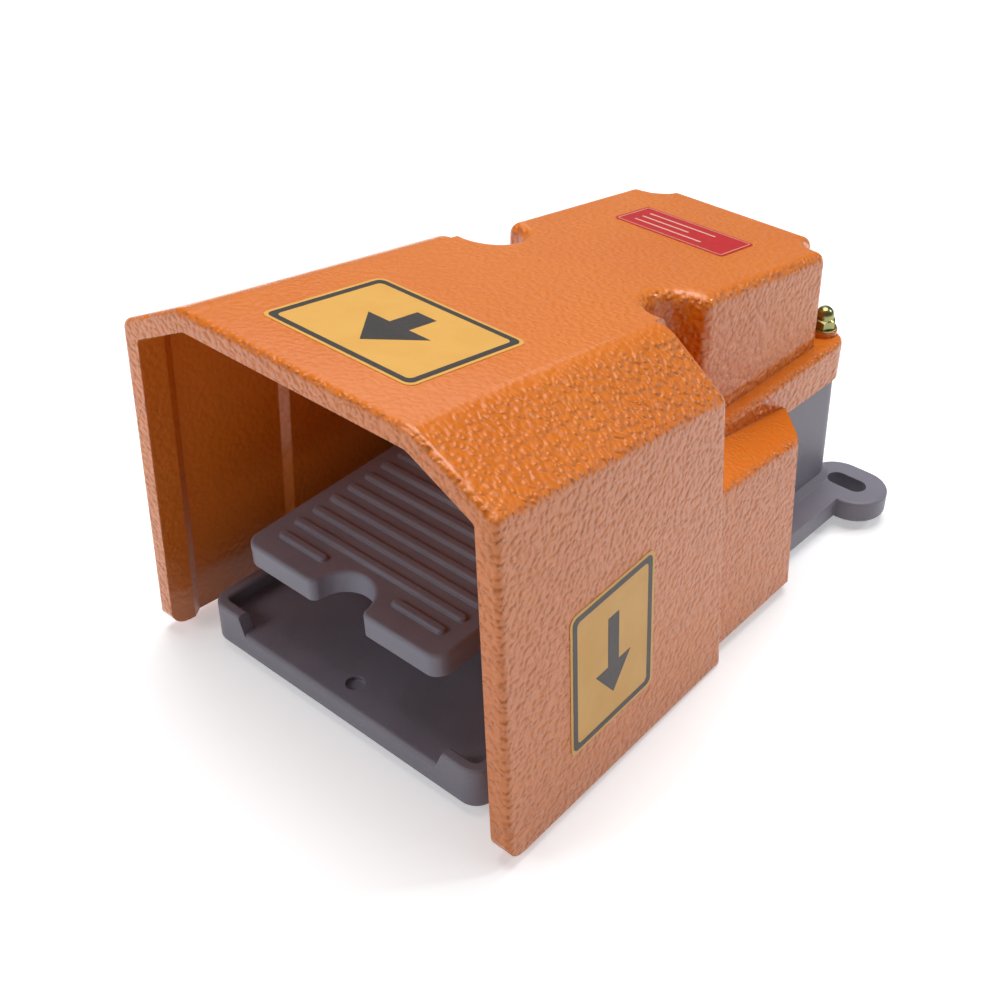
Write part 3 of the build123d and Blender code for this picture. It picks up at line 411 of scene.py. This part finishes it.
# Bare aluminium die casting: pale, with a broad soft reflection.
PLAIN_CASTING = Finish(
    "plain_casting", "#A5A7AA", "#96989B", drift_mm=8, roughness=0.45, grain_mm=0.4, grain_height_mm=0.02,
    metallic=1.0, edge_mm=0.5,
)
# Zinc-plated sheet: cool pale metal.
SHEET_ZINC = Finish(
    "sheet_zinc", "#B4B8BC", "#A2A7AD", drift_mm=5, roughness=0.35, grain_mm=0.5, grain_height_mm=0.006,
    metallic=1.0, edge_mm=0.3,
)
# Stamped brass: warm and fairly bright.
CONTACT_BRASS = Finish(
    "contact_brass", "#C9A24E", "#B98F3E", drift_mm=3, roughness=0.3, grain_mm=0.3, grain_height_mm=0.004,
    metallic=1.0, edge_mm=0.2,
)
# Moulded rubber: matt black, with hardly any reflection.
BLACK_RUBBER = Finish(
    "black_rubber", "#161616", "#1E1D1D", drift_mm=6, roughness=0.72, grain_mm=0.4, grain_height_mm=0.02,
    edge_mm=0.4,
)
# Thermoset plastic, moulded: black with a faint even sheen.
BLACK_MOULDING = Finish(
    "black_moulding", "#1B1B1C", "#222223", drift_mm=10, roughness=0.42, grain_mm=0.3, grain_height_mm=0.012,
    edge_mm=0.3,
)
# Nylon, moulded: dark grey and slightly satin.
GREY_MOULDING = Finish(
    "grey_moulding", "#3A3B3D", "#434446", drift_mm=10, roughness=0.45, grain_mm=0.3, grain_height_mm=0.012,
    edge_mm=0.3,
)
# Insulating plastic, moulded: off-white and satin.
PALE_MOULDING = Finish(
    "pale_moulding", "#CFCCC0", "#C5C2B4", drift_mm=10, roughness=0.45, grain_mm=0.3, grain_height_mm=0.01,
    edge_mm=0.3,
)
# Glossy plastic, moulded: saturated red.
RED_MOULDING = Finish(
    "red_moulding", "#B02218", "#9C1C14", drift_mm=4, roughness=0.3, grain_mm=0.2, grain_height_mm=0.004,
    edge_mm=0.2,
)
# Printed vinyl film: even amber with a low sheen.
AMBER_FILM = Finish(
    "amber_film", "#E3AC4C", "#DFA646", drift_mm=12, roughness=0.36, grain_mm=1.6, grain_height_mm=0.03,
    edge_mm=0.1,
)
# Screen ink on film: soft black.
DARK_INK = Finish(
    "dark_ink", "#2B2624", "#332D2A", drift_mm=8, roughness=0.4, grain_mm=1.6, grain_height_mm=0.03,
    edge_mm=0.1,
)
# Printed vinyl film: even red with a low sheen.
RED_FILM = Finish(
    "red_film", "#C4161C", "#BB1219", drift_mm=10, roughness=0.34, grain_mm=1.6, grain_height_mm=0.02,
    edge_mm=0.1,
)
# Thin screen ink on red film: the red shows through it.
WHITE_INK = Finish(
    "white_ink", "#E3B9A4", "#DCAF9A", drift_mm=6, roughness=0.4, grain_mm=1.0, grain_height_mm=0.01,
    edge_mm=0.1,
)

NODE_FINISHES: dict[Finish, tuple[str, ...]] = {
    GUARD_PAINT: ("guard_casting",),
    CASTING_PAINT: ("base_casting",),
    PEDAL_PAINT: ("pedal_casting",),
    PASSIVATED_ZINC: (
        "cover_studs", "cover_washers", "cover_cap_nuts", "foot_screws", "adjusting_screw",
        "adjusting_locknut", "terminal_screws", "bracket_screws", "switch_screws", "switch_nuts",
    ),
    BRIGHT_STEEL: ("pivot_shaft", "pedal_pins", "lever_pin"),
    SPRING_STEEL: ("return_springs", "shaft_retaining_rings"),
    BRONZE: ("shaft_bushes",),
    PLAIN_CASTING: ("switch_lever",),
    SHEET_ZINC: ("switch_bracket",),
    CONTACT_BRASS: ("switch_terminals", "earth_screw", "earth_washer"),
    BLACK_RUBBER: ("rim_gasket", "rubber_feet", "shaft_seals", "gland_seal"),
    BLACK_MOULDING: ("switch_body",),
    GREY_MOULDING: ("gland_body", "gland_cap", "gland_locknut"),
    PALE_MOULDING: ("terminal_shield",),
    RED_MOULDING: ("switch_plunger",),
}


class Workshop:
    """Keeps one material for each finish, so that pieces share them."""

    def __init__(self) -> None:
        self._made: dict[Finish, bpy.types.Material] = {}

    def material(self, finish: Finish) -> bpy.types.Material:
        """Material of a finish, made on first use.

        Args:
            finish: Finish wanted.

        Returns:
            Its material.
        """
        if finish not in self._made:
            self._made[finish] = finish.build()
        return self._made[finish]

    def dress(self, obj: bpy.types.Object, finish: Finish) -> None:
        """Gives an object one finish all over.

        Args:
            obj: Mesh object.
            finish: Finish for it.
        """
        material = self.material(finish)
        if not obj.material_slots:
            obj.data.materials.append(material)
        for held in obj.material_slots:
            held.material = material


@dataclass(frozen=True)
class Patch:
    """Flat frame on the guard that a film is laid out in.

    Attributes:
        centre: Middle of the film, in metres.
        across: Direction of the film's width.
        up: Direction of the film's height.
    """

    centre: Vector
    across: Vector
    up: Vector

    @property
    def outward(self) -> Vector:
        """Direction away from the guard."""
        return self.across.cross(self.up).normalized()

    def lift(self, point: Point2, height_mm: float) -> Vector:
        """Place of a film point given in millimetres.

        Args:
            point: Across and up from the middle.
            height_mm: Height above the patch.

        Returns:
            The point in metres.
        """
        flat = self.centre + self.across * (point[0] * MM) + self.up * (point[1] * MM)
        return flat + self.outward * (height_mm * MM)


def rounded_rectangle(width: float, height: float, radius: float, steps: int = 6) -> list[Point2]:
    """Outline of a rectangle with round corners.

    Args:
        width: Full width.
        height: Full height.
        radius: Corner radius.
        steps: Parts in each corner's arc.

    Returns:
        Points, counter-clockwise.
    """
    points: list[Point2] = []
    for quarter, (sx, sy) in enumerate(((1, 1), (-1, 1), (-1, -1), (1, -1))):
        for step in range(steps + 1):
            angle = math.radians(90 * (quarter + step / steps))
            x = sx * (width / 2 - radius) + radius * math.cos(angle)
            y = sy * (height / 2 - radius) + radius * math.sin(angle)
            points.append((x, y))
    return points


def arrow_outline(length: float, shaft: float, head: float, taper: float = 0.62) -> list[Point2]:
    """Outline of a plain arrow that points down.

    Args:
        length: Tip to tail.
        shaft: Width of the shaft.
        head: Width of the head.
        taper: Length of the head as a share of its width.

    Returns:
        Points, counter-clockwise.
    """
    top, neck = length / 2, -length / 2 + head * taper
    half, wing = shaft / 2, head / 2
    return [(half, top), (-half, top), (-half, neck), (-wing, neck), (0, -top), (wing, neck), (half, neck)]


@dataclass
class Film:
    """Printed film on the guard: a base sheet, a keyline and a plain motif, each a thin closed solid.

    Attributes:
        name: First part of its pieces' names.
        patch: Where it lies.
        size: Width and height in millimetres.
        base: Finish of the sheet.
        ink: Finish of what is printed on it.
        motif: Drawing in the middle.
        corner: Corner radius in millimetres.
        margin: Sheet left outside the keyline, in millimetres.
        line: Width of the keyline in millimetres.
        thickness: Thickness of the sheet in millimetres.
        ink_rise: Height of the ink above the sheet in millimetres.
        grid: Size of the squares that let the film follow the guard, in millimetres.
        gap: Clearance between the guard and the sheet, in millimetres.
        probe: Height above the patch from which the guard is felt for, in millimetres.
        arrow_shares: Arrow's length in heights, and its shaft and head in widths.
        rule_shares: Length of each rule in widths.
        rule_step: Distance between rules in heights.
        rule_width: Width of a rule in heights.
        rule_corner: Corner radius of a rule in heights.
        rule_reach: Twice the distance of the rules' left ends from the middle, in widths.
        pieces: The pieces made so far.
    """

    name: str
    patch: Patch
    size: Point2
    base: Finish
    ink: Finish
    motif: Motif
    corner: float = 3.0
    margin: float = 1.2
    line: float = 2.2
    thickness: float = 0.16
    ink_rise: float = 0.05
    grid: float = 4.0
    gap: float = 0.02
    probe: float = 10.0
    arrow_shares: Point3 = (0.56, 0.13, 0.42)
    rule_shares: Point3 = (0.62, 0.44, 0.62)
    rule_step: float = 0.22
    rule_width: float = 0.045
    rule_corner: float = 0.02
    rule_reach: float = 0.78
    pieces: list[bpy.types.Object] = field(default_factory=list)

    def build(self, surface: BVHTree, workshop: Workshop) -> None:
        """Makes the film's pieces on the guard.

        Args:
            surface: Guard's surface.
            workshop: Source of the materials.
        """
        width, height = self.size
        sheet = rounded_rectangle(width, height, self.corner)
        outer_cut, inner_cut = 2 * self.margin, 2 * (self.margin + self.line)
        outer = rounded_rectangle(width - outer_cut, height - outer_cut, self.corner - self.margin / 2)
        inner = rounded_rectangle(width - inner_cut, height - inner_cut, self.corner - self.margin)
        top = self.thickness + self.ink_rise
        self._solid("sheet", [sheet], 0.0, self.thickness, self.base, surface, workshop)
        self._solid("keyline", [outer, inner], self.thickness, top, self.ink, surface, workshop)
        for index, outline in enumerate(self._motif_outlines(), start=1):
            self._solid(f"motif_{index}", [outline], self.thickness, top, self.ink, surface, workshop)

    def _motif_outlines(self) -> list[list[Point2]]:
        """Outlines of the drawing in the middle.

        Returns:
            One outline for each piece.
        """
        width, height = self.size
        if self.motif is Motif.ARROW:
            length, shaft, head = self.arrow_shares
            return [arrow_outline(length * height, shaft * width, head * width)]
        rules = []
        for row, share in enumerate(self.rule_shares):
            middle = height * (self.rule_step - self.rule_step * row)
            inset = (self.rule_reach - share) * width / 2
            bar = rounded_rectangle(
                share * width, self.rule_width * height, self.rule_corner * height, steps=2
            )
            rules.append([(x - inset, y + middle) for x, y in bar])
        return rules

    def _solid(
        self,
        part: str,
        outlines: Sequence[Sequence[Point2]],
        low: float,
        high: float,
        finish: Finish,
        surface: BVHTree,
        workshop: Workshop,
    ) -> None:
        """Makes one thin solid between two heights above the guard.

        Args:
            part: Second part of the piece's name.
            outlines: Outer outline, and a hole's where it has one.
            low: Height of the underside in millimetres.
            high: Height of the top in millimetres.
            finish: Finish of the piece.
            surface: Guard's surface.
            workshop: Source of the materials.
        """
        mesh = bmesh.new()
        edges = []
        for outline in outlines:
            ring = [mesh.verts.new((x, y, 0.0)) for x, y in outline]
            edges += [mesh.edges.new((ring[i - 1], ring[i])) for i in range(len(ring))]
        bmesh.ops.triangle_fill(mesh, use_beauty=True, edges=edges, normal=(0, 0, 1))
        self._cut_into_grid(mesh)
        bmesh.ops.recalc_face_normals(mesh, faces=mesh.faces)
        if mesh.faces[:] and sum(face.normal.z for face in mesh.faces) < 0:
            bmesh.ops.reverse_faces(mesh, faces=mesh.faces)
        flat = [(vert, vert.co.x, vert.co.y) for vert in mesh.verts]
        grown = bmesh.ops.extrude_face_region(mesh, geom=mesh.faces[:])
        lifted = [item for item in grown["geom"] if isinstance(item, bmesh.types.BMVert)]
        tops = [(vert, vert.co.x, vert.co.y) for vert in lifted]
        for vert, x, y in flat:
            vert.co = self._on_guard((x, y), low, surface)
        for vert, x, y in tops:
            vert.co = self._on_guard((x, y), high, surface)
        bmesh.ops.recalc_face_normals(mesh, faces=mesh.faces)
        data = bpy.data.meshes.new(f"{self.name}_{part}")
        mesh.to_mesh(data)
        mesh.free()
        obj = bpy.data.objects.new(f"{self.name}_{part}", data)
        bpy.context.scene.collection.objects.link(obj)
        workshop.dress(obj, finish)
        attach(obj, GUARD_BODY)
        self.pieces.append(obj)

    def _cut_into_grid(self, mesh: bmesh.types.BMesh) -> None:
        """Cuts the faces along a square grid, so that they can bend with the guard.

        Args:
            mesh: Flat mesh of the piece.
        """
        for axis, extent in enumerate(self.size):
            count = int(extent / self.grid)
            normal = (1, 0, 0) if axis == 0 else (0, 1, 0)
            for index in range(1, count):
                offset = -extent / 2 + extent * index / count
                place = (offset, 0, 0) if axis == 0 else (0, offset, 0)
                geometry = mesh.verts[:] + mesh.edges[:] + mesh.faces[:]
                bmesh.ops.bisect_plane(mesh, geom=geometry, plane_co=place, plane_no=normal)

    def _on_guard(self, point: Point2, height_mm: float, surface: BVHTree) -> Vector:
        """Place on the guard's surface below a film point, lifted by a height.

        Args:
            point: Across and up from the film's middle, in millimetres.
            height_mm: Height above the guard.
            surface: Guard's surface.

        Returns:
            The place in metres.

        Raises:
            ValueError: If the guard doesn't lie below the point.
        """
        start = self.patch.lift(point, self.probe)
        hit, _, _, _ = surface.ray_cast(start, -self.patch.outward)
        if hit is None:
            raise ValueError(f"{self.name}: the point {point} misses the guard")
        return hit + self.patch.outward * ((height_mm + self.gap) * MM)


@dataclass
class GuardFilms:
    """The three printed films on the guard.

    Attributes:
        slope: Fall of the guard's top face per unit of length to the rear.
        mouth_y: Depth of the guard's mouth in the row frame, in millimetres.
        mouth_top: Height of the guard's top face at the mouth, in millimetres.
        wall_x: Distance of the guard's side wall from the middle, in millimetres.
        wall_lean: Inward lean of the guard's side wall, in degrees.
        wall_turn: Turn of the guard's side wall from straight ahead, in degrees.
        top_centre: Middle of the top film, across and behind the mouth.
        top_size: Width and depth of the top film.
        plate_centre: Middle of the red plate, across and behind the mouth.
        plate_size: Width and depth of the red plate.
        side_centre: Middle of the side film, behind the mouth and above the floor.
        side_size: Width and height of the side film.
    """

    slope: float = 0.143
    mouth_y: float = -128.15
    mouth_top: float = 143.7
    wall_x: float = 79.5
    wall_lean: float = 3.1
    wall_turn: float = 3.05
    top_centre: Point2 = (0.0, 42.0)
    top_size: Point2 = (62.0, 50.0)
    plate_centre: Point2 = (-0.8, 190.4)
    plate_size: Point2 = (48.0, 21.5)
    side_centre: Point2 = (53.0, 50.0)
    side_size: Point2 = (44.0, 54.0)

    def build(self, workshop: Workshop) -> list[bpy.types.Object]:
        """Makes the films.

        Args:
            workshop: Source of the materials.

        Returns:
            All their pieces.
        """
        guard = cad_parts["guard_casting"]
        surface = BVHTree.FromObject(guard, bpy.context.evaluated_depsgraph_get())
        top, side = self._top(self.top_centre), self._side(self.side_centre)
        plate = self._top(self.plate_centre)
        films = [
            Film("top_film", top, self.top_size, AMBER_FILM, DARK_INK, Motif.ARROW),
            Film("side_film", side, self.side_size, AMBER_FILM, DARK_INK, Motif.ARROW),
            Film(
                "red_plate", plate, self.plate_size, RED_FILM, WHITE_INK, Motif.RULES,
                corner=1.6, margin=0.9, line=0.35, grid=6.0,
            ),
        ]
        for film in films:
            film.build(surface, workshop)
        return [piece for film in films for piece in film.pieces]

    def _top(self, centre: Point2) -> Patch:
        """Frame on the guard's top face, with up pointing to the rear.

        Args:
            centre: Middle of the film, across and behind the mouth.

        Returns:
            The frame.
        """
        x, y = centre
        up = Vector((0, 1, -self.slope)).normalized()
        middle = Vector((x, y + self.mouth_y, self.mouth_top - self.slope * y)) * MM
        return Patch(middle, Vector((1, 0, 0)), up)

    def _side(self, centre: Point2) -> Patch:
        """Frame on the guard's right wall, with across pointing to the rear.

        Args:
            centre: Middle of the film, behind the mouth and above the floor.

        Returns:
            The frame.
        """
        y, z = centre
        turn, lean = math.radians(self.wall_turn), math.radians(self.wall_lean)
        across = Vector((-math.sin(turn), math.cos(turn), 0))
        up = Vector((-math.sin(lean), 0, math.cos(lean)))
        up = (up - across * up.dot(across)).normalized()
        middle = Vector((self.wall_x, y + self.mouth_y, z)) * MM
        return Patch(middle, across, up)


@dataclass(frozen=True)
class Lamp:
    """Soft square lamp.

    Attributes:
        name: Name of the lamp.
        place: Position in metres.
        size: Side in metres.
        power: Power in watts.
    """

    name: str
    place: Point3
    size: float
    power: float


@dataclass
class Studio:
    """Pale floor, even surroundings, soft lamps and the camera.

    Attributes:
        floor_size: Side of the floor in metres.
        floor_colour: Colour of the floor.
        sky_colour: Colour of the surroundings.
        sky_strength: Strength of the surroundings.
        floor_glow: Light that the floor adds where it is seen, straight or in a reflection.
        floor_roughness: Roughness of the floor.
        lamp_aim: Height in metres of the point that the lamps face.
        lamps: The lamps: a large one above, a small one behind for the crisp glints, and two fills.
        camera_place: Position of the camera in metres.
        camera_turn: Turn of the camera in degrees.
        camera_lens: Focal length in millimetres.
        camera_sensor: Width of the sensor in millimetres.
        camera_shift: Shift of the picture.
        camera_clip: Nearest and furthest distance seen, in metres.
    """

    floor_size: float = 24.0
    floor_colour: str = "#EEEEEF"
    floor_glow: float = 0.45
    sky_colour: str = "#F4F6FA"
    sky_strength: float = 0.16
    floor_roughness: float = 0.9
    lamp_aim: float = 0.06
    lamps: tuple[Lamp, ...] = (
        Lamp("overhead_lamp", (-0.25, 0.3, 2.2), 1.6, 44.0),
        Lamp("left_lamp", (-1.1, 1.25, 1.2), 0.9, 2.5),
        Lamp("rear_lamp", (0.8, 1.0, 0.95), 0.2, 4.0),
        Lamp("front_lamp", (-0.5, -1.1, 0.75), 0.5, 4.2),
    )
    camera_place: Point3 = (0.27304, -0.34621, 0.34773)
    camera_turn: Point3 = (54.3722, -0.3630, 41.6762)
    camera_lens: float = 52.2938
    camera_sensor: float = 36.0
    camera_shift: Point2 = (-0.00388, -0.00771)
    camera_clip: Point2 = (0.02, 100.0)

    def build(self) -> None:
        """Makes the floor, light and camera."""
        self._floor()
        self._sky()
        for lamp in self.lamps:
            self._hang(lamp)
        self._camera()
        scene = bpy.context.scene
        scene.view_settings.view_transform = "Standard"

    def _floor(self) -> None:
        """Large flat floor just under the feet."""
        half = self.floor_size / 2
        corners = [(-half, -half, 0), (half, -half, 0), (half, half, 0), (-half, half, 0)]
        data = bpy.data.meshes.new("floor")
        data.from_pydata(corners, [], [(0, 1, 2, 3)])
        floor = bpy.data.objects.new("floor", data)
        bpy.context.scene.collection.objects.link(floor)
        material = bpy.data.materials.new("floor_paper")
        material.use_nodes = True
        tree = material.node_tree
        tree.nodes.clear()
        rays = add_node(tree, "ShaderNodeLightPath").outputs
        seen = add_node(
            tree, "ShaderNodeMath", {0: rays["Is Camera Ray"], 1: rays["Is Glossy Ray"]}, operation="MAXIMUM"
        ).outputs["Value"]
        seen = add_node(
            tree, "ShaderNodeMath", {0: seen, 1: rays["Is Transmission Ray"]}, operation="MAXIMUM"
        ).outputs["Value"]
        glow = add_node(tree, "ShaderNodeMath", {0: seen, 1: self.floor_glow}, operation="MULTIPLY")
        surface = add_node(
            tree,
            "ShaderNodeBsdfPrincipled",
            {
                "Base Color": linear(self.floor_colour),
                "Roughness": self.floor_roughness,
                "Emission Color": linear(self.floor_colour),
                "Emission Strength": glow.outputs["Value"],
            },
        )
        add_node(tree, "ShaderNodeOutputMaterial", {"Surface": surface.outputs["BSDF"]})
        data.materials.append(material)

    def _sky(self) -> None:
        """Even pale surroundings."""
        world = bpy.data.worlds.new("surroundings")
        world.use_nodes = True
        tree = world.node_tree
        tree.nodes.clear()
        glow = add_node(
            tree, "ShaderNodeBackground", {"Color": linear(self.sky_colour), "Strength": self.sky_strength}
        )
        add_node(tree, "ShaderNodeOutputWorld", {"Surface": glow.outputs["Background"]})
        bpy.context.scene.world = world

    def _hang(self, lamp: Lamp) -> None:
        """Puts up a lamp that faces the object.

        Args:
            lamp: Place, size and power.
        """
        data = bpy.data.lights.new(lamp.name, "AREA")
        data.size = lamp.size
        data.energy = lamp.power
        obj = bpy.data.objects.new(lamp.name, data)
        obj.location = lamp.place
        aim = Vector((0, 0, self.lamp_aim)) - Vector(lamp.place)
        obj.rotation_euler = aim.to_track_quat("-Z", "Y").to_euler()
        bpy.context.scene.collection.objects.link(obj)

    def _camera(self) -> None:
        """Camera at the photograph's place and angle."""
        data = bpy.data.cameras.new("camera")
        data.sensor_width = self.camera_sensor
        data.lens = self.camera_lens
        data.shift_x, data.shift_y = self.camera_shift
        data.clip_start, data.clip_end = self.camera_clip
        camera = bpy.data.objects.new("camera", data)
        camera.location = self.camera_place
        camera.rotation_euler = [math.radians(angle) for angle in self.camera_turn]
        bpy.context.scene.collection.objects.link(camera)
        bpy.context.scene.camera = camera


def dress_nodes(workshop: Workshop) -> None:
    """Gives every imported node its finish.

    Args:
        workshop: Source of the materials.

    Raises:
        KeyError: If a node has no finish.
    """
    finishes = {node: finish for finish, nodes in NODE_FINISHES.items() for node in nodes}
    for name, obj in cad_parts.items():
        workshop.dress(obj, finishes[name])
        log.info("node %s has %s", name, finishes[name].name)


def main() -> None:
    """Builds the whole scene."""
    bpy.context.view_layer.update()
    workshop = Workshop()
    dress_nodes(workshop)
    for piece in GuardFilms().build(workshop):
        log.info("piece %s", piece.name)
    Studio().build()


if __name__ == "__main__":
    main()
